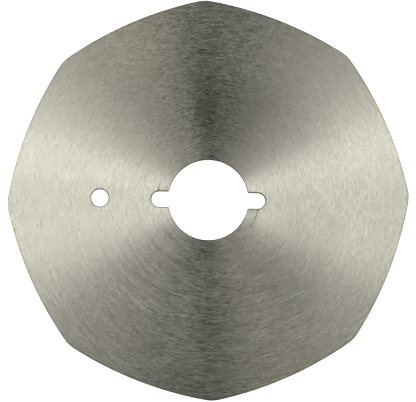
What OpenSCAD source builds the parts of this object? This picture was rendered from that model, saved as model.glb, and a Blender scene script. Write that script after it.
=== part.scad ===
// Eight-sided rotary cutter blade, one flat piece of ground high-speed steel.
// A round bore takes the drive hub, two key slots open out of the bore, and one
// small hole stands beside it. The eight convex sides meet at rounded points,
// and a single bevel is ground under the rim, so the cutting edge lies in the
// plane of the upper face.
// Millimetres, +Z up. The origin is on the bore's axis, in the plane of the
// lower face that the blade lies on. The key slots run along X.

/* [Blade] */
// Diameter across the rounded points
points_d = 90; // [80:1:110]
// Thickness of the blank
thickness = 1; // [0.8:0.1:1.6]
// Radius of each convex side
side_r = 82; // [70:1:110]
// Radius that rounds each point
point_r = 8.6; // [6:0.2:12]
// Turn of the points from the axis of the key slots, in degrees
points_turn = 2.2; // [-10:0.2:10]

/* [Cutting edge] */
// Width of the bevel ground under the rim
bevel_w = 2.6; // [1.6:0.1:4]
// Height of the narrow land left at the cutting edge
edge_land = 0.06; // [0.04:0.01:0.2]

/* [Bore, slots and hole] */
// Diameter of the bore
bore_d = 18; // [14:0.5:22]
// Width of each key slot
slot_w = 3.5; // [2.5:0.1:5]
// Length over the round ends of both key slots
slot_span = 25.5; // [25:0.5:32]
// Radius that rounds the corners where a slot meets the bore
slot_corner_r = 0.3; // [0.2:0.05:0.6]
// Diameter of the small hole
hole_d = 3.9; // [3:0.1:6]
// Distance from the bore's axis to the small hole
hole_x = 24.3; // [22:0.1:28]
// Width of the broken edge round every opening
edge_break = 0.1; // [0.05:0.05:0.15]

/* [Hidden] */
$fn = 180;
over = 0.5; // how far a cutter runs past a face

sides = 8;
half_step = 180 / sides;
// A rounding crosses the faces beside it at a very slight angle, as a grinding
// pass does, because it stands this far past them before it is trimmed
point_meet = 0.015;
corner_meet = 0.004;
// Centre of the rounding of each point, from the bore's axis
point_c = points_d / 2 - point_r;
// Centre of each side's arc, on the far side of the bore's axis
side_c = sqrt(pow(side_r + point_meet - point_r, 2) - pow(point_c * sin(half_step), 2))
         - point_c * cos(half_step);
// Direction from the centre of a side's arc to the centre of a point's rounding
side_half = atan2(point_c * sin(half_step), side_c + point_c * cos(half_step));
// Half of the angle that a point's rounding may trim
point_half = half_step - side_half;
// Ends of the slots' straight walls
slot_c = (slot_span - slot_w) / 2;
// Centre of the rounding where a slot's wall meets the bore
corner_y = slot_w / 2 + slot_corner_r - corner_meet;
corner_x = sqrt(pow(bore_d / 2 + slot_corner_r - corner_meet, 2) - corner_y * corner_y);
corner_dir = atan2(corner_y, corner_x);

// Half of a disc's section: flat above, ground away below, with a narrow land
// at the cutting edge
module rim_section(r) {
    polygon([
        [0, 0],
        [r - bevel_w, 0],
        [r, thickness - edge_land],
        [r, thickness],
        [0, thickness]
    ]);
}

// The region that one side's grinding pass leaves
module side_disc() {
    translate([-side_c, 0, 0]) rotate_extrude() rim_section(side_r);
}

// What the grinding pass round one point takes off
module point_cutter() {
    reach = 2 * point_r;
    translate([point_c, 0, 0])
        difference() {
            translate([0, 0, -over])
                linear_extrude(height = thickness + 2 * over)
                    polygon([
                        [0, 0],
                        [reach * cos(point_half), -reach * sin(point_half)],
                        [reach * cos(point_half), reach * sin(point_half)]
                    ]);
            union() {
                rotate_extrude() rim_section(point_r);
                translate([0, 0, thickness]) cylinder(r = point_r, h = 2 * over);
                translate([0, 0, -2 * over]) cylinder(r = point_r - bevel_w, h = 2 * over);
            }
        }
}

// The blank, ground on its eight sides and round its eight points
module blank() {
    rotate([0, 0, points_turn])
        difference() {
            intersection_for(k = [0 : sides - 1])
                rotate([0, 0, (2 * k + 1) * half_step]) side_disc();
            for (k = [0 : sides - 1])
                rotate([0, 0, 2 * k * half_step]) point_cutter();
        }
}

// A round opening through the blank, with both of its edges broken
module round_cutter(r) {
    flare = edge_break + over;
    rotate_extrude()
        polygon([
            [0, -over],
            [r + flare, -over],
            [r, edge_break],
            [r, thickness - edge_break],
            [r + flare, thickness + over],
            [0, thickness + over]
        ]);
}

// Both key slots, from one round end to the other
module slots_cutter() {
    flare = edge_break + over;
    h = slot_w / 2;
    rotate([90, 0, 90])
        translate([0, 0, -slot_c])
            linear_extrude(height = 2 * slot_c)
                polygon([
                    [-h - flare, -over],
                    [h + flare, -over],
                    [h, edge_break],
                    [h, thickness - edge_break],
                    [h + flare, thickness + over],
                    [-h - flare, thickness + over],
                    [-h, thickness - edge_break],
                    [-h, edge_break]
                ]);
    for (side = [-1, 1])
        translate([side * slot_c, 0, 0]) round_cutter(slot_w / 2);
}

// What rounds the corner between a slot's wall and the bore
module corner_cutter() {
    reach = 2 * slot_corner_r;
    translate([corner_x, corner_y, 0])
        difference() {
            translate([0, 0, -over])
                linear_extrude(height = thickness + 2 * over)
                    polygon([
                        [0, 0],
                        reach * [cos(180 + corner_dir), sin(180 + corner_dir)],
                        reach * [cos(225 + corner_dir / 2), sin(225 + corner_dir / 2)],
                        reach * [cos(270), sin(270)]
                    ]);
            rotate_extrude()
                polygon([
                    [0, -2 * over],
                    [slot_corner_r - edge_break, -2 * over],
                    [slot_corner_r - edge_break, 0],
                    [slot_corner_r, edge_break],
                    [slot_corner_r, thickness - edge_break],
                    [slot_corner_r - edge_break, thickness],
                    [slot_corner_r - edge_break, thickness + 2 * over],
                    [0, thickness + 2 * over]
                ]);
        }
}

module blade() {
    color([0.71, 0.70, 0.66])
        difference() {
            blank();
            round_cutter(bore_d / 2);
            slots_cutter();
            for (x = [0, 1], y = [0, 1])
                mirror([x, 0, 0]) mirror([0, y, 0]) corner_cutter();
            translate([-hole_x, 0, 0]) round_cutter(hole_d / 2);
        }
}

blade();
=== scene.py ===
import math

import bpy
from mathutils import Matrix, Vector
from mathutils.geometry import delaunay_2d_cdt


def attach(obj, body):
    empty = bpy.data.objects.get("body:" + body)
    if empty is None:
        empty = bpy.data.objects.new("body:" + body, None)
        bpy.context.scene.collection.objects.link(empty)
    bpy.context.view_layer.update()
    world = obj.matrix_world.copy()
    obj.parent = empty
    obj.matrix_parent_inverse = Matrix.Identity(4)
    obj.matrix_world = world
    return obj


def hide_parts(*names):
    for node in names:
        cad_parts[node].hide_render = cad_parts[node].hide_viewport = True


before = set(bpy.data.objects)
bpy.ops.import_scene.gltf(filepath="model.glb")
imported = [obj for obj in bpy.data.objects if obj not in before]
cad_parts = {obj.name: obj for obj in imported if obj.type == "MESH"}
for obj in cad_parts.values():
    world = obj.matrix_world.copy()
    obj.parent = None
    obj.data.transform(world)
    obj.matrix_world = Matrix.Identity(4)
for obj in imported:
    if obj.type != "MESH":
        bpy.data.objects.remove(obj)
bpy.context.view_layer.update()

MM = 0.001

# ---------------------------------------------------------------- the blade's numbers, in millimetres
POINTS_D, THICKNESS = 90.0, 1.0
SIDE_R, POINT_R, POINTS_TURN = 82.0, 8.6, 2.2
BEVEL_W, EDGE_LAND = 2.6, 0.06
BORE_R, SLOT_W, SLOT_SPAN, SLOT_CORNER_R = 9.0, 3.5, 25.5, 0.3
HOLE_R, HOLE_X = 1.95, -24.3
EDGE_BREAK = 0.1

HALF_STEP = math.radians(22.5)
POINT_MEET = 0.015
TRIM = 0.001  # the outline stays this far inside, so rounding never takes it out of its box
POINT_C = POINTS_D / 2 - POINT_R
SIDE_C = math.sqrt((SIDE_R + POINT_MEET - POINT_R) ** 2 - (POINT_C * math.sin(HALF_STEP)) ** 2) - POINT_C * math.cos(HALF_STEP)
SIDE_HALF = math.atan2(POINT_C * math.sin(HALF_STEP), SIDE_C + POINT_C * math.cos(HALF_STEP))
POINT_HALF = HALF_STEP - SIDE_HALF
SLOT_C = (SLOT_SPAN - SLOT_W) / 2


def outline_r(phi, inset=0.0):
    """Distance of the ground outline from the bore's axis in direction phi, for the outline moved in by inset."""
    a = phi - math.radians(POINTS_TURN)
    a = abs(a - round(a / (2 * HALF_STEP)) * 2 * HALF_STEP)
    r = SIDE_R - TRIM - inset
    b = -SIDE_C * math.cos(HALF_STEP - a)
    side = b + math.sqrt(b * b - SIDE_C * SIDE_C + r * r)
    p = POINT_R - TRIM - inset
    limit = math.atan2(p * math.sin(POINT_HALF), POINT_C + p * math.cos(POINT_HALF))
    if a < limit:
        b = POINT_C * math.cos(a)
        side = min(side, b + math.sqrt(b * b - POINT_C * POINT_C + p * p))
    return side


def opening_loop(d):
    """The bore with both key slots, counter-clockwise, moved out into the metal by d."""
    cy = SLOT_W / 2 + SLOT_CORNER_R
    cx = math.sqrt((BORE_R + SLOT_CORNER_R) ** 2 - cy * cy)
    turn = math.atan2(cy, cx)
    r = SLOT_CORNER_R - d
    quarter = []
    # half of the right slot's end, its wall, the corner, then the bore up to the top
    for i in range(0, 20):
        t = math.radians(90) * i / 20
        quarter.append((SLOT_C + (SLOT_W / 2 + d) * math.cos(t), (SLOT_W / 2 + d) * math.sin(t)))
    for i in range(0, 6):
        quarter.append((SLOT_C + (cx - SLOT_C) * i / 6, SLOT_W / 2 + d))
    for i in range(0, 7):
        t = math.radians(270) + (math.pi + turn - math.radians(270)) * i / 7
        quarter.append((cx + r * math.cos(t), cy + r * math.sin(t)))
    for i in range(0, 80):
        t = turn + (math.pi / 2 - turn) * i / 80
        quarter.append(((BORE_R + d) * math.cos(t), (BORE_R + d) * math.sin(t)))
    top = [(0.0, BORE_R + d)]
    right_up = quarter
    left_up = [(-x, y) for x, y in reversed(quarter)]
    upper = right_up + top + left_up
    lower = [(-x, -y) for x, y in upper]
    out = []
    for p in upper + lower:
        if not out or math.hypot(p[0] - out[-1][0], p[1] - out[-1][1]) > 1e-6:
            out.append(p)
    if math.hypot(out[0][0] - out[-1][0], out[0][1] - out[-1][1]) < 1e-6:
        out.pop()
    return out


def hole_loop(d):
    return [(HOLE_X + (HOLE_R + d) * math.cos(2 * math.pi * i / 96), (HOLE_R + d) * math.sin(2 * math.pi * i / 96)) for i in range(96)]


def outline_angles():
    """Directions of the outline's corners in the mesh: fine round each point, and 0.5 degrees apart along the sides."""
    out = []
    for k in range(8):
        base = POINTS_TURN + 45 * k
        for i in range(-12, 12):
            out.append(base + 2.4 * i / 12)
        for i in range(80):
            out.append(base + 2.4 + (45 - 4.8) * i / 80)
    return [math.radians(a) for a in out]


ANGLES = outline_angles()


def outline_loop(inset):
    return [(outline_r(a, inset) * math.cos(a), outline_r(a, inset) * math.sin(a)) for a in ANGLES]


def in_opening(x, y, d):
    """Whether a point lies in the bore, a slot or the small hole, each moved out by d."""
    if math.hypot(x, y) < BORE_R + d or math.hypot(x - HOLE_X, y) < HOLE_R + d:
        return True
    ax = abs(x)
    if ax < SLOT_C and abs(y) < SLOT_W / 2 + d:
        return True
    if math.hypot(ax - SLOT_C, y) < SLOT_W / 2 + d:
        return True
    # the rounded corners between slot and bore
    cy = SLOT_W / 2 + SLOT_CORNER_R
    cx = math.sqrt((BORE_R + SLOT_CORNER_R) ** 2 - cy * cy)
    return ax < cx and abs(y) < cy and math.hypot(ax - cx, abs(y) - cy) > SLOT_CORNER_R - d and math.atan2(abs(y), ax) < math.atan2(cy, cx)


class Shape:
    """Collects vertices and faces of one closed mesh."""

    def __init__(self):
        self.co, self.faces, self.kind, self.rim = [], [], [], []

    def loop(self, pts, z, rim=9.0):
        first = len(self.co)
        self.co += [(x, y, z) for x, y in pts]
        self.rim += [rim] * len(pts)
        return list(range(first, first + len(pts)))

    def strip(self, a, b, kind):
        """Quads from loop a to loop b, seen with a below and the loop running to the right."""
        n = len(a)
        for i in range(n):
            j = (i + 1) % n
            self.faces.append((a[i], a[j], b[j], b[i]))
            self.kind.append(kind)

    def sheet(self, outer, inner, z, d, up, kind, inset):
        """Fills the flat ring between an outer loop and the openings with well-shaped triangles."""
        pts, ids = [], []
        edges = []
        for ring in [outer] + inner:
            first = len(pts)
            for v in ring:
                pts.append(Vector((self.co[v][0], self.co[v][1])))
                ids.append(v)
            n = len(ring)
            edges += [(first + i, first + (i + 1) % n) for i in range(n)]
        # a narrow margin along the outline, then rings round the bore's axis
        for step in (0.12, 0.3, 0.7):
            for a in ANGLES:
                r = outline_r(a, inset + step)
                pts.append(Vector((r * math.cos(a), r * math.sin(a))))
                ids.append(None)
        r = 9.6
        while r < 45:
            n = max(60, int(round(2 * math.pi * r / 0.95)))
            for i in range(n):
                a = 2 * math.pi * (i + 0.5 * (int(r * 10) % 2)) / n
                if r > outline_r(a, inset) - 1.15:
                    continue
                x, y = r * math.cos(a), r * math.sin(a)
                if in_opening(x, y, d + 0.35):
                    continue
                pts.append(Vector((x, y)))
                ids.append(None)
            r += 0.9
        verts, _, faces, origin, _, _ = delaunay_2d_cdt(pts, edges, [], 0, 1e-6)
        number = []
        for v, src in zip(verts, origin):
            known = [ids[s] for s in src if ids[s] is not None]
            if known:
                number.append(known[0])
            else:
                number.append(len(self.co))
                self.co.append((v.x, v.y, z))
                a = math.atan2(v.y, v.x)
                self.rim.append(outline_r(a, inset) - math.hypot(v.x, v.y))
        for f in faces:
            x = sum(verts[i].x for i in f) / 3
            y = sum(verts[i].y for i in f) / 3
            a = math.atan2(y, x)
            if math.hypot(x, y) > outline_r(a, inset) + 1e-4 or in_opening(x, y, d - 2e-4):
                continue
            corners = [number[i] for i in f]
            p, q, s = (verts[i] for i in f)
            turn = (q.x - p.x) * (s.y - p.y) - (q.y - p.y) * (s.x - p.x)
            if abs(turn) < 1e-9:
                continue
            if (turn > 0) != up:
                corners.reverse()
            self.faces.append(tuple(corners))
            self.kind.append(kind)


FACE, BEVEL, WALL = 0, 1, 2

shape = Shape()
edge_top = shape.loop(outline_loop(0.0), THICKNESS, 0.0)
edge_low = shape.loop(outline_loop(0.0), THICKNESS - EDGE_LAND, 0.0)
bevel = [edge_low]
for i in range(1, 7):
    t = i / 6
    bevel.append(shape.loop(outline_loop(BEVEL_W * t), (THICKNESS - EDGE_LAND) * (1 - t), BEVEL_W * t))

# Profile of every broken edge, from the face into the opening: (out into the metal, height from the face)
BREAK = [(EDGE_BREAK, 0.0), (0.06, 0.022), (0.022, 0.06), (0.0, EDGE_BREAK)]
wall_loops = {}
for name, loop_of in (("bore", opening_loop), ("hole", hole_loop)):
    rows = [shape.loop(loop_of(d), THICKNESS - h) for d, h in BREAK]
    rows += [shape.loop(loop_of(0.0), z) for z in (0.7, 0.5, 0.3)]
    rows += [shape.loop(loop_of(d), h) for d, h in reversed(BREAK)]
    wall_loops[name] = rows

shape.strip(edge_low, edge_top, BEVEL)
for low, high in zip(bevel[1:], bevel[:-1]):
    shape.strip(low, high, BEVEL)
for rows in wall_loops.values():
    for high, low in zip(rows[:-1], rows[1:]):
        # the metal is outside an opening, so its wall faces inwards
        shape.strip(high, low, WALL)
shape.sheet(edge_top, [wall_loops["bore"][0], wall_loops["hole"][0]], THICKNESS, EDGE_BREAK, True, FACE, 0.0)
shape.sheet(bevel[-1], [wall_loops["bore"][-1], wall_loops["hole"][-1]], 0.0, EDGE_BREAK, False, FACE, BEVEL_W)

mesh = bpy.data.meshes.new("ground_blade")
mesh.from_pydata([(x * MM, y * MM, z * MM) for x, y, z in shape.co], [], shape.faces)
mesh.validate()
for p, kind in zip(mesh.polygons, shape.kind):
    p.material_index = kind
    p.use_smooth = kind != FACE
rim = mesh.attributes.new("rim", "FLOAT", "POINT")
rim.data.foreach_set("value", shape.rim)
mesh.update()

# Edges where two kinds of surface meet stay sharp
sharp = [False] * len(mesh.edges)
edge_of = {tuple(sorted(e.vertices)): e.index for e in mesh.edges}
for loop in (edge_top, edge_low, bevel[-1]):
    for i in range(len(loop)):
        sharp[edge_of[tuple(sorted((loop[i], loop[(i + 1) % len(loop)])))]] = True
for rows in wall_loops.values():
    for loop in (rows[0], rows[-1]):
        for i in range(len(loop)):
            sharp[edge_of[tuple(sorted((loop[i], loop[(i + 1) % len(loop)])))]] = True
crease = mesh.attributes.new("sharp_edge", "BOOLEAN", "EDGE") if "sharp_edge" not in mesh.attributes else mesh.attributes["sharp_edge"]
crease.data.foreach_set("value", sharp)

blade = bpy.data.objects.new("ground_blade", mesh)
bpy.context.scene.collection.objects.link(blade)
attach(blade, "root")
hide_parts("blade")


# ---------------------------------------------------------------- materials
class Tree:
    """A short way to write shader nodes."""

    def __init__(self, tree):
        self.t = tree

    def node(self, kind, **settings):
        n = self.t.nodes.new(kind)
        for k, v in settings.items():
            setattr(n, k, v)
        return n

    def put(self, socket, value):
        if hasattr(value, "is_output") and value.is_output:
            self.t.links.new(value, socket)
        else:
            socket.default_value = value

    def math(self, op, *values, clamp=False):
        n = self.node("ShaderNodeMath", operation=op, use_clamp=clamp)
        for i, v in enumerate(values):
            self.put(n.inputs[i], v)
        return n.outputs[0]

    def vec(self, op, *values, out=0):
        n = self.node("ShaderNodeVectorMath", operation=op)
        for i, v in enumerate(values):
            if op == "SCALE" and i == 1:
                self.put(n.inputs["Scale"], v)
            else:
                self.put(n.inputs[i], v)
        return n.outputs[out]

    def xyz(self, x, y, z):
        n = self.node("ShaderNodeCombineXYZ")
        for i, v in enumerate((x, y, z)):
            self.put(n.inputs[i], v)
        return n.outputs[0]

    def noise(self, vector, scale, detail=2.0, rough=0.5, lacunarity=2.0, distortion=0.0):
        n = self.node("ShaderNodeTexNoise", noise_dimensions="3D")
        self.put(n.inputs["Vector"], vector)
        n.inputs["Scale"].default_value = scale
        n.inputs["Detail"].default_value = detail
        n.inputs["Roughness"].default_value = rough
        n.inputs["Lacunarity"].default_value = lacunarity
        n.inputs["Distortion"].default_value = distortion
        return n.outputs["Fac"]

    def range(self, value, a, b, c=0.0, d=1.0, smooth=True):
        n = self.node("ShaderNodeMapRange", interpolation_type="SMOOTHSTEP" if smooth else "LINEAR", clamp=True)
        for i, v in enumerate((value, a, b, c, d)):
            self.put(n.inputs[i], v)
        return n.outputs[0]

    def mix(self, fac, a, b):
        n = self.node("ShaderNodeMix", data_type="RGBA")
        for s, v in ((n.inputs[0], fac), (n.inputs[6], a), (n.inputs[7], b)):
            self.put(s, v)
        return n.outputs[2]

    def mixf(self, fac, a, b):
        n = self.node("ShaderNodeMix", data_type="FLOAT")
        self.put(n.inputs[0], fac)
        self.put(n.inputs[2], a)
        self.put(n.inputs[3], b)
        return n.outputs[0]


def ring_ramp(t, turn, values, top):
    """A value by direction: evenly spaced stops round the full circle, turn from 0 to 1."""
    ramp = t.node("ShaderNodeValToRGB")
    ramp.color_ramp.interpolation = "LINEAR"
    n = len(values)
    stops = [(i / n, v / top) for i, v in enumerate(values)] + [(1.0, values[0] / top)]
    elements = ramp.color_ramp.elements
    while len(elements) < len(stops):
        elements.new(0.5)
    for e, (at, v) in zip(elements, stops):
        e.position = at
        e.color = (v, v, v, 1)
    t.put(ramp.inputs[0], turn)
    return ramp.outputs[0]


def radius_ramp(t, r, points, top):
    """A value by radius: points are (radius in mm, value), and the result is multiplied by top."""
    ramp = t.node("ShaderNodeValToRGB")
    ramp.color_ramp.interpolation = "EASE"
    elements = ramp.color_ramp.elements
    while len(elements) < len(points):
        elements.new(0.5)
    for e, (at, v) in zip(elements, points):
        e.position = at / 50
        e.color = (v, v, v, 1)
    t.put(ramp.inputs[0], t.math("DIVIDE", r, 50.0))
    return t.math("MULTIPLY", ramp.outputs[0], top)


def new_material(name):
    m = bpy.data.materials.new(name)
    m.use_nodes = True
    m.node_tree.nodes.clear()
    return m, Tree(m.node_tree)


def polar(t):
    """Place on the blade: position in mm, radius in mm, unit vector outwards, unit vector along the grind, angle in degrees."""
    obj = t.node("ShaderNodeTexCoord").outputs["Object"]
    pos = t.vec("SCALE", obj, 1000.0)
    flat = t.vec("MULTIPLY", pos, (1.0, 1.0, 0.0))
    r = t.vec("LENGTH", flat, out=1)
    out = t.vec("NORMALIZE", flat)
    along = t.vec("CROSS_PRODUCT", (0.0, 0.0, 1.0), out)
    sep = t.node("ShaderNodeSeparateXYZ")
    t.put(sep.inputs[0], flat)
    angle = t.math("MULTIPLY", t.math("ARCTAN2", sep.outputs[1], sep.outputs[0]), 180 / math.pi)
    return pos, r, out, along, angle


STEEL = (0.6265, 0.61, 0.525)

# Marks on the shown face, each along its circle: start radius, end radius, start angle, end angle
# (mm and degrees, counter-clockwise from the right slot), half width in mm, strength
DARK_MARKS = [
    (11.22, 11.38, -33.0, -7.5, 0.17, 0.66),
    (11.30, 11.38, -12.5, -6.5, 0.26, 0.55),
    (11.44, 11.38, 165.5, 172.5, 0.20, 0.78),
    (11.50, 11.40, 159.5, 167.5, 0.19, 0.42),
    (9.76, 9.80, 161.5, 167.8, 0.20, 0.50),
    (10.56, 10.56, 164.8, 168.2, 0.17, 0.42),
    (9.64, 9.76, -47.6, -38.0, 0.19, 0.50),
    (9.16, 9.20, -62.0, -24.0, 0.16, 0.34),
    (22.64, 22.86, -103.4, -124.0, 0.17, 0.46),
    (22.84, 23.00, -122.0, -135.0, 0.16, 0.30),
    (33.16, 33.16, -51.5, -48.5, 0.15, 0.26),
    (36.70, 36.70, -49.4, -46.4, 0.15, 0.24),
    (27.80, 28.62, -131.0, -117.0, 0.12, 0.22),
    (27.38, 29.20, -55.2, -43.0, 0.12, 0.26),
]
LIGHT_MARKS = [
    (22.40, 22.22, -102.6, -113.6, 0.15, 0.40),
    (22.38, 22.40, -101.2, -103.4, 0.20, 0.90),
    (22.06, 22.36, -95.8, -102.0, 0.14, 0.50),
    (27.60, 28.36, -129.5, -115.5, 0.14, 0.45),
    (28.10, 28.85, -128.5, -117.0, 0.13, 0.36),
    (26.70, 27.20, -126.0, -118.0, 0.13, 0.30),
    (27.64, 29.50, -55.4, -42.1, 0.16, 0.85),
    (27.10, 28.90, -55.6, -43.5, 0.13, 0.50),
    (28.30, 29.60, -51.0, -42.5, 0.12, 0.40),
    (32.50, 33.25, -55.1, -48.2, 0.15, 0.60),
    (26.50, 27.30, -66.2, -59.4, 0.14, 0.45),
    (31.60, 32.60, -66.0, -57.0, 0.12, 0.34),
    (33.42, 33.42, -51.2, -48.0, 0.15, 0.34),
    (36.95, 36.95, -49.2, -46.0, 0.15, 0.30),
    (30.80, 30.80, -68.6, -65.2, 0.15, 0.36),
    (32.48, 32.48, -59.0, -55.4, 0.15, 0.36),
    (10.98, 11.12, -24.0, -8.5, 0.14, 0.22),
    # specks near the rim: small rough spots, painted light as glints
    (42.40, 42.40, -98.62, -98.10, 0.20, 0.85),
    (42.25, 42.25, -97.80, -97.40, 0.16, 0.45),
    (42.19, 42.19, -96.74, -96.28, 0.18, 0.60),
    (43.10, 43.10, 95.65, 96.15, 0.18, 0.55),
    (43.05, 43.05, 94.70, 95.30, 0.18, 0.55),
    (43.09, 43.09, 93.70, 94.10, 0.16, 0.45),
    (41.56, 41.56, 95.50, 96.10, 0.20, 0.60),
]


# How strongly the grain is painted by direction, counter-clockwise from the right slot, every 30 degrees; stronger
# where the face reflects little light, an effect of the light
GRAIN_PAINTED_BY_LIGHT = [0.38, 0.36, 0.38, 0.96, 0.32, 0.17, 0.52, 0.40, 0.47, 1.12, 0.74, 0.46]


def arc(t, r, angle, mark):
    """Mask of one mark that runs along its circle."""
    r0, r1, a0, a1, width, strength = mark
    if a0 > a1:
        r0, r1, a0, a1 = r1, r0, a1, a0
    slope = (r1 - r0) / (a1 - a0)
    line = t.math("MULTIPLY_ADD", angle, slope, r0 - slope * a0)
    across = t.range(t.math("ABSOLUTE", t.math("SUBTRACT", r, line)), 0.25 * width, width, strength, 0.0)
    soft = min(1.2, 0.35 * (a1 - a0))
    start = t.range(angle, a0, a0 + soft)
    end = t.range(angle, a1 - soft, a1, 1.0, 0.0)
    return t.math("MULTIPLY", t.math("MULTIPLY", across, start), end)


def ground_face():
    """Bare steel, ground in circles round the bore."""
    m, t = new_material("ground_steel_face")
    pos, r, out, along, angle = polar(t)
    flat = t.vec("MULTIPLY", pos, (1.0, 1.0, 0.0))

    # the circles wander a little
    wander = t.math("MULTIPLY_ADD", t.noise(pos, 0.22, 1.0), 0.3, -0.15)
    ring = t.math("ADD", r, wander)

    def grain(length, width, shift, detail=2.0, rough=0.55):
        """Streaks along the circles, of a length and a width in mm; from -0.5 to 0.5."""
        v = t.vec("ADD", t.vec("SCALE", flat, 1.0 / length), t.xyz(shift, 0.0, t.math("DIVIDE", ring, width)))
        return t.math("SUBTRACT", t.noise(v, 1.0, detail, rough), 0.5)

    fine = grain(1.35, 0.20, 11.0, 2.0, 0.6)
    medium = grain(3.2, 0.27, 47.0)
    coarse = grain(0.9, 0.19, 83.0, 2.0, 0.6)
    patch = t.math("SUBTRACT", t.noise(t.vec("ADD", pos, (31.0, 7.0, 0.0)), 0.11, 2.0, 0.5), 0.5)

    # a few deeper scratches, each a thin line a few millimetres long
    keep = grain(9.0, 0.33, 131.0, 0.0, 0.5)
    scratch = t.math("MULTIPLY", t.range(keep, 0.17, 0.30), t.range(grain(5.0, 3.0, 7.0, 1.0), -0.08, 0.12))

    # long fine arcs, light and dark, that show on the lower half; they swing round a centre of their own
    swing = t.vec("LENGTH", t.vec("SUBTRACT", flat, (6.0, 5.0, 0.0)), out=1)
    arcs = t.noise(t.vec("ADD", t.vec("SCALE", flat, 0.12), t.xyz(151.0, 0.0, t.math("DIVIDE", swing, 0.20))), 1.0, 1.0)
    lower = t.math("MULTIPLY", t.range(angle, -165.0, -135.0), t.range(angle, -55.0, -20.0, 1.0, 0.0))
    arcs = t.math("SUBTRACT", t.range(arcs, 0.60, 0.74), t.range(arcs, 0.26, 0.40, 0.8, 0.0))
    arcs = t.math("MULTIPLY", arcs, t.math("MULTIPLY", lower, t.range(r, 12.0, 20.0, 0.6, 1.0)))
    # nearer the bore they lie in wider bands
    bands = t.noise(t.vec("ADD", t.vec("SCALE", flat, 0.16), t.xyz(171.0, 0.0, t.math("DIVIDE", swing, 0.85))), 1.0, 1.0)
    bands = t.math("MULTIPLY", t.math("SUBTRACT", bands, 0.5), t.math("MULTIPLY", lower, t.range(r, 23.0, 29.0, 1.0, 0.35)))

    dark = 0.0
    for mark in DARK_MARKS:
        dark = t.math("MAXIMUM", dark, arc(t, r, angle, mark))
    light = 0.0
    for mark in LIGHT_MARKS:
        light = t.math("MAXIMUM", light, arc(t, r, angle, mark))
    crumble = t.math("MULTIPLY_ADD", grain(0.7, 0.7, 61.0, 1.0), 0.9, 1.05)
    dark = t.math("MULTIPLY", dark, crumble, clamp=True)
    light = t.math("MULTIPLY", light, crumble, clamp=True)

    # painted light and shade in patches on the shown face, copying how its reflection varies: lighter toward the rim at
    # the upper right, duller round the right half of the bore, a band of painted dark reflection above the bore and a
    # lighter band below it
    def window(value, a, b, c, d, strength=1.0):
        return t.math("MULTIPLY", t.range(value, a, b), t.range(value, c, d, strength, 0.0))

    painted_reflection_patches = 1.0
    for where, change in (
        (window(angle, 2.0, 26.0, 84.0, 112.0), t.math("SUBTRACT", t.range(r, 24.0, 36.0, 0.0, 0.207), t.range(r, 16.0, 27.0, 0.014, 0.0))),
        (window(angle, -84.0, -50.0, 20.0, 60.0), t.range(r, 18.0, 29.0, -0.048, 0.0)),
        (window(angle, 83.0, 91.0, 95.0, 105.0), radius_ramp(t, r, [(12, 0.0), (14, 0.08), (17, 0.24), (20, 0.36), (22, 0.36), (24, 0.27), (28, 0.15), (34, 0.14), (41, 0.04), (45, 0.0)], -1.0)),
        (window(angle, 50.0, 60.0, 83.0, 91.0), window(r, 11.0, 16.0, 24.0, 32.0, -0.10)),
        (window(angle, 5.0, 13.0, 25.0, 36.0), t.range(r, 23.0, 32.0, 0.085, 0.0)),
        (window(angle, 96.0, 106.0, 118.0, 132.0), t.math("SUBTRACT", t.range(r, 29.0, 38.0, 0.0, 0.12), window(r, 12.5, 17.5, 19.0, 28.0, 0.09))),
        (window(angle, 156.0, 163.0, 170.0, 176.0), t.range(r, 16.0, 22.0, 0.03, 0.06)),
        (window(angle, -62.0, -50.0, -10.0, 0.0), window(r, 16.0, 21.0, 28.0, 33.0, -0.085)),
        (window(angle, -62.0, -50.0, -40.0, -30.0), t.range(r, 31.0, 37.0, 0.0, 0.11)),
        (window(angle, -110.0, -98.0, -94.0, -88.5), window(r, 13.0, 20.0, 34.0, 43.0, 0.28)),
        (window(angle, -96.0, -91.0, -82.0, -76.0), window(r, 12.5, 15.0, 20.5, 24.5, 0.18)),
        (window(angle, -130.0, -122.0, -110.0, -102.0), window(r, 18.0, 22.0, 28.0, 32.0, 0.09)),
    ):
        painted_reflection_patches = t.math("MULTIPLY", painted_reflection_patches, t.math("MULTIPLY_ADD", where, change, 1.0))
    shown = t.range(t.vec("DOT_PRODUCT", pos, (0.0, 0.0, 1.0), out=1), 0.4, 0.6)
    painted_reflection_patches = t.mixf(shown, 1.0, painted_reflection_patches)
    dark = t.math("MULTIPLY", dark, shown)
    light = t.math("MULTIPLY", light, shown)

    # stained patch that the clamp washer left beside the right slot
    stain = t.math("MULTIPLY", t.range(r, 11.05, 11.30, shown, 0.0), t.math("MULTIPLY", t.range(angle, -40.0, -26.0), t.range(angle, -9.0, -6.0, 1.0, 0.0)))
    grime = t.math("MULTIPLY", t.range(r, 10.6, 11.1, shown, 0.0), t.math("MULTIPLY", t.range(angle, -18.0, -13.0), t.range(angle, -9.0, -6.0, 1.0, 0.0)))

    # painted shade: a thin dark line follows the slots and the small hole, a faint one the bore
    place = t.node("ShaderNodeSeparateXYZ")
    t.put(place.inputs[0], flat)
    beyond = t.math("MAXIMUM", t.math("SUBTRACT", t.math("ABSOLUTE", place.outputs[0]), SLOT_C), 0.0)
    to_slot = t.math("SUBTRACT", t.vec("LENGTH", t.xyz(beyond, place.outputs[1], 0.0), out=1), SLOT_W / 2)
    to_hole = t.math("SUBTRACT", t.vec("LENGTH", t.vec("SUBTRACT", flat, (HOLE_X, 0.0, 0.0)), out=1), HOLE_R)
    # the painted shade is wider on the slots' upper sides
    to_slot = t.math("SUBTRACT", to_slot, t.range(place.outputs[1], -0.6, 1.0, 0.0, 0.07))
    near = t.math("ADD", t.math("MINIMUM", to_slot, to_hole), t.math("MULTIPLY", medium, 0.25))
    line = t.math("MAXIMUM", t.range(near, 0.16, 0.31, 0.60, 0.0), t.range(t.math("SUBTRACT", r, BORE_R), 0.14, 0.30, 0.26, 0.0))
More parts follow.
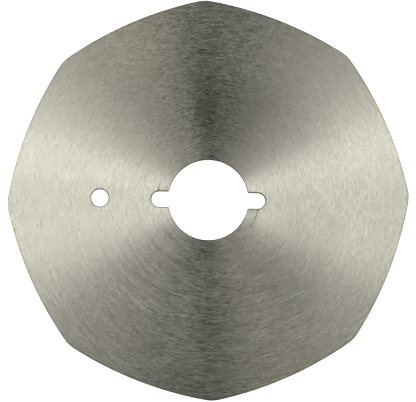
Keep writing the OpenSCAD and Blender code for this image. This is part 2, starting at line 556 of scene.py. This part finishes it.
    # a faint dark line where the face meets the sharpened rim
    rim = t.node("ShaderNodeAttribute", attribute_name="rim").outputs["Fac"]
    line = t.math("MAXIMUM", line, t.range(t.math("MULTIPLY_ADD", medium, 0.3, rim), 0.22, 0.46, 0.25, 0.0))

    # the grind's grooves tip the surface a little outwards and along the groove
    n = t.node("ShaderNodeNewGeometry").outputs["Normal"]
    tip_out = t.math("MULTIPLY", t.math("ADD", fine, t.math("MULTIPLY", medium, 0.6)), 0.25)
    tip_along = t.math("MULTIPLY", coarse, 0.16)
    n = t.vec("ADD", n, t.vec("SCALE", out, tip_out))
    n = t.vec("ADD", n, t.vec("SCALE", along, tip_along))
    n = t.vec("NORMALIZE", n)

    # rougher grooves scatter more light along the circle, so they show light where the face is dark
    rough = t.math("MULTIPLY_ADD", fine, 0.16, 0.42)
    rough = t.math("MULTIPLY_ADD", medium, 0.08, rough)
    rough = t.math("MULTIPLY_ADD", patch, 0.05, rough)
    rough = t.math("MULTIPLY_ADD", scratch, 0.07, rough)
    rough = t.math("MULTIPLY_ADD", light, 0.22, rough)
    rough = t.math("MULTIPLY_ADD", dark, 0.10, rough, clamp=True)

    # the grain's contrast is painted strongest at the top and the bottom of the blade, where the face reflects little
    # light
    turn = t.math("FRACT", t.math("MULTIPLY_ADD", angle, 1 / 360, 1.0))
    show = t.math("MULTIPLY", ring_ramp(t, turn, GRAIN_PAINTED_BY_LIGHT, 1.2), t.range(r, 18.0, 34.0, 1.12, 1.08))
    worn = t.noise(t.vec("ADD", pos, (5.0, 17.0, 0.0)), 0.33, 2.0)
    show = t.math("MULTIPLY", show, t.range(worn, 0.36, 0.64, 0.80, 1.20))
    grit = t.math("MULTIPLY_ADD", medium, 0.65, t.math("MULTIPLY", t.math("ADD", fine, coarse), 0.90))
    grit = t.math("MULTIPLY_ADD", scratch, 0.12, grit)
    tone = t.math("MULTIPLY_ADD", t.math("MULTIPLY", grit, show), 2.0, 1.0)
    tone = t.math("MULTIPLY_ADD", arcs, 0.24, tone)
    tone = t.math("MULTIPLY_ADD", bands, 0.55, tone)
    tone = t.math("MULTIPLY_ADD", light, 0.70, tone)
    tone = t.math("MULTIPLY", tone, t.math("SUBTRACT", 1.0, dark))
    tone = t.math("MULTIPLY", tone, t.math("SUBTRACT", 1.0, line))
    tone = t.math("MULTIPLY", tone, t.math("MULTIPLY_ADD", stain, -0.06, 1.0))
    tone = t.math("MULTIPLY", tone, t.math("MULTIPLY_ADD", grime, -0.20, 1.0))
    # the light and dark of the grain keep one hue
    colour = t.mix(t.math("MAXIMUM", stain, grime), STEEL + (1.0,), (0.61, 0.61, 0.50, 1.0))
    colour = t.vec("MULTIPLY", colour, t.xyz(tone, tone, t.math("POWER", tone, 1.2)))
    # the painted patches of light and shade lighten and darken the colour
    colour = t.vec("SCALE", colour, painted_reflection_patches)

    b = t.node("ShaderNodeBsdfPrincipled")
    t.put(b.inputs["Base Color"], colour)
    b.inputs["Metallic"].default_value = 1.0
    t.put(b.inputs["Roughness"], rough)
    b.inputs["Anisotropic"].default_value = 0.95
    b.inputs["Anisotropic Rotation"].default_value = 0.25
    t.put(b.inputs["Normal"], n)
    tangent = t.node("ShaderNodeTangent", direction_type="RADIAL", axis="Z")
    t.put(b.inputs["Tangent"], tangent.outputs[0])
    t.put(t.node("ShaderNodeOutputMaterial").inputs["Surface"], b.outputs[0])
    return m


def ground_bevel():
    """The sharpened bevel, ground across its width."""
    m, t = new_material("ground_steel_bevel")
    pos, r, out, along, angle = polar(t)
    sep = t.node("ShaderNodeSeparateXYZ")
    t.put(sep.inputs[0], out)
    v = t.xyz(t.math("MULTIPLY", sep.outputs[0], 260.0), t.math("MULTIPLY", sep.outputs[1], 260.0), t.math("MULTIPLY", r, 0.5))
    lines = t.noise(v, 1.0, 3.0, 0.6)
    b = t.node("ShaderNodeBsdfPrincipled")
    t.put(b.inputs["Base Color"], t.vec("SCALE", (0.66, 0.655, 0.60), t.math("MULTIPLY_ADD", lines, 0.3, 0.85)))
    b.inputs["Metallic"].default_value = 1.0
    t.put(b.inputs["Roughness"], t.math("MULTIPLY_ADD", lines, 0.25, 0.18))
    bump = t.node("ShaderNodeBump")
    bump.inputs["Strength"].default_value = 0.25
    bump.inputs["Distance"].default_value = 0.00002
    t.put(bump.inputs["Height"], lines)
    t.put(b.inputs["Normal"], bump.outputs[0])
    t.put(t.node("ShaderNodeOutputMaterial").inputs["Surface"], b.outputs[0])
    return m


def cut_wall():
    """Walls of the openings: painted dark as shade, in place of the dark surroundings they would reflect; the bore's
    wall is painted lighter.
    """
    m, t = new_material("wall_painted_shade")
    pos, r, out, along, angle = polar(t)
    grain = t.noise(t.vec("MULTIPLY", pos, (1.0, 1.0, 4.0)), 2.5, 3.0, 0.6)
    lines = t.noise(t.vec("MULTIPLY", pos, (0.3, 0.3, 9.0)), 1.0, 2.0, 0.6)
    bored = t.range(r, 9.16, 9.10)
    # painted shade: the walls' colour is dark, the bore's lighter
    colour = t.mix(bored, (0.022, 0.021, 0.018, 1.0), (0.11, 0.107, 0.095, 1.0))
    b = t.node("ShaderNodeBsdfPrincipled")
    t.put(b.inputs["Base Color"], t.vec("SCALE", colour, t.math("MULTIPLY_ADD", grain, 0.8, 0.6)))
    t.put(b.inputs["Metallic"], t.math("MULTIPLY", bored, 0.4))
    t.put(b.inputs["Roughness"], t.math("MULTIPLY_ADD", grain, 0.3, 0.5))
    b.inputs["Specular IOR Level"].default_value = 0.06
    bump = t.node("ShaderNodeBump")
    bump.inputs["Strength"].default_value = 0.5
    bump.inputs["Distance"].default_value = 0.00003
    t.put(bump.inputs["Height"], t.mixf(bored, grain, lines))
    t.put(b.inputs["Normal"], bump.outputs[0])
    t.put(t.node("ShaderNodeOutputMaterial").inputs["Surface"], b.outputs[0])
    return m


for m in (ground_face(), ground_bevel(), cut_wall()):
    blade.data.materials.append(m)

# ---------------------------------------------------------------- floor
floor_mesh = bpy.data.meshes.new("floor")
N = 96
floor_mesh.from_pydata(
    [(14 * math.cos(2 * math.pi * i / N), 14 * math.sin(2 * math.pi * i / N), -0.00002) for i in range(N)], [], [tuple(range(N))]
)
floor = bpy.data.objects.new("floor", floor_mesh)
bpy.context.scene.collection.objects.link(floor)
m, t = new_material("pale_floor")
b = t.node("ShaderNodeBsdfPrincipled")
b.inputs["Base Color"].default_value = (0.93, 0.93, 0.93, 1)
b.inputs["Roughness"].default_value = 0.9
b.inputs["Specular IOR Level"].default_value = 0.2
b.inputs["Emission Color"].default_value = (1, 1, 1, 1)
b.inputs["Emission Strength"].default_value = 0.9
t.put(t.node("ShaderNodeOutputMaterial").inputs["Surface"], b.outputs[0])
floor.data.materials.append(m)

# ---------------------------------------------------------------- soft light all round, brighter from the left and the right
world = bpy.data.worlds.new("soft_surround")
bpy.context.scene.world = world
world.use_nodes = True
world.node_tree.nodes.clear()
t = Tree(world.node_tree)
way = t.node("ShaderNodeTexCoord").outputs["Generated"]
sep = t.node("ShaderNodeSeparateXYZ")
t.put(sep.inputs[0], way)
turn = t.math("DIVIDE", t.math("ARCTAN2", sep.outputs[1], sep.outputs[0]), 2 * math.pi)
turn = t.math("FRACT", t.math("ADD", turn, 1.0))
# brightness of the surround by direction, counter-clockwise from the right, every 12 degrees
SURROUND = [0.11, 0.90, 1.70, 0.77, 0.00, 0.00, 0.00, 0.00, 0.16, 1.14, 0.00, 0.00, 0.00, 1.70, 0.36, 0.00, 1.70, 0.00, 0.00, 1.01, 0.93, 0.77, 0.16, 0.00, 0.39, 0.37, 0.18, 0.00, 0.00, 1.07]
top = 1.7
# soft panels high up all round, but none straight above; a grey band of room below them
height = sep.outputs[2]
panels = t.math("MULTIPLY", t.range(height, 0.35, 0.60), t.range(height, 0.93, 0.99, 1.0, 0.0))
room = t.range(height, 0.15, 0.55, 0.5 / top, 0.0)
# how blue the light is by direction, counter-clockwise from the right, every 30 degrees
COOLNESS = [1.04, 1.02, 0.94, 0.93, 0.88, 1.03, 1.05, 0.98, 1.00, 0.98, 0.90, 0.90]
blue = t.math("MULTIPLY", ring_ramp(t, turn, COOLNESS, 1.2), 1.2)
glow = t.node("ShaderNodeBackground")
light = t.vec("ADD", t.vec("SCALE", ring_ramp(t, turn, SURROUND, top), panels), t.xyz(room, room, room))
t.put(glow.inputs["Color"], t.vec("MULTIPLY", light, t.xyz(1.0, 0.998, blue)))
glow.inputs["Strength"].default_value = top
white = t.node("ShaderNodeBackground")
white.inputs["Color"].default_value = (1, 1, 1, 1)
white.inputs["Strength"].default_value = 1.05
path = t.node("ShaderNodeLightPath")
both = t.node("ShaderNodeMixShader")
t.put(both.inputs[0], path.outputs["Is Camera Ray"])
t.put(both.inputs[1], glow.outputs[0])
t.put(both.inputs[2], white.outputs[0])
t.put(t.node("ShaderNodeOutputWorld").inputs["Surface"], both.outputs[0])

# round soft boxes close to the blade, so its left side shines a little more than its right
for name, azimuth, height, radiance in (
    ("soft_box_left", 150, 50, 1.05),
    ("soft_box_over_left", 170, 60, 0.92),
    ("soft_box_right", 20, 50, 0.70),
):
    size = 0.22
    data = bpy.data.lights.new(name, "AREA")
    data.shape = "DISK"
    data.size = size
    data.energy = radiance * math.pi * math.pi * size * size / 4
    data.color = (1.0, 1.0, 0.97)
    lamp = bpy.data.objects.new(name, data)
    bpy.context.scene.collection.objects.link(lamp)
    az, el = math.radians(azimuth), math.radians(height)
    toward = Vector((math.cos(el) * math.cos(az), math.cos(el) * math.sin(az), math.sin(el)))
    lamp.rotation_mode = "QUATERNION"
    lamp.rotation_quaternion = toward.to_track_quat("Z", "Y")
    lamp.location = toward * 0.26
    lamp.visible_camera = False

# ---------------------------------------------------------------- camera
scene = bpy.context.scene
FRAME_W, FRAME_H = 416, 402
DISTANCE = 1.0
TILT, SIDEWAYS, ROLL = math.radians(4.93), math.radians(-12.0), math.radians(1.04)
PX_PER_MM = 4.4595
CENTRE = (208.20, 200.24)
camera_data = bpy.data.cameras.new("camera")
camera = bpy.data.objects.new("camera", camera_data)
scene.collection.objects.link(camera)
scene.camera = camera
back = Vector((math.sin(TILT) * math.sin(SIDEWAYS), -math.sin(TILT) * math.cos(SIDEWAYS), math.cos(TILT)))
right = Vector((0, 1, 0)).cross(back).normalized()
up = back.cross(right)
right, up = math.cos(ROLL) * right + math.sin(ROLL) * up, math.cos(ROLL) * up - math.sin(ROLL) * right
place = Matrix.Identity(4)
for i, axis in enumerate((right, up, back)):
    for j in range(3):
        place[j][i] = axis[j]
place.translation = back * DISTANCE
camera.matrix_world = place
camera_data.sensor_width = 36.0
camera_data.lens = 36.0 * PX_PER_MM * DISTANCE * 1000 / FRAME_W
camera_data.shift_x = -(CENTRE[0] - FRAME_W / 2) / FRAME_W
camera_data.shift_y = (CENTRE[1] - FRAME_H / 2) / FRAME_W
camera_data.clip_start = 0.05
camera_data.clip_end = 30.0
camera_data.dof.use_dof = False

scene.view_settings.view_transform = "Standard"
scene.view_settings.look = "None"
scene.view_settings.exposure = 0.0
scene.view_settings.gamma = 1.0

bpy.context.view_layer.update()
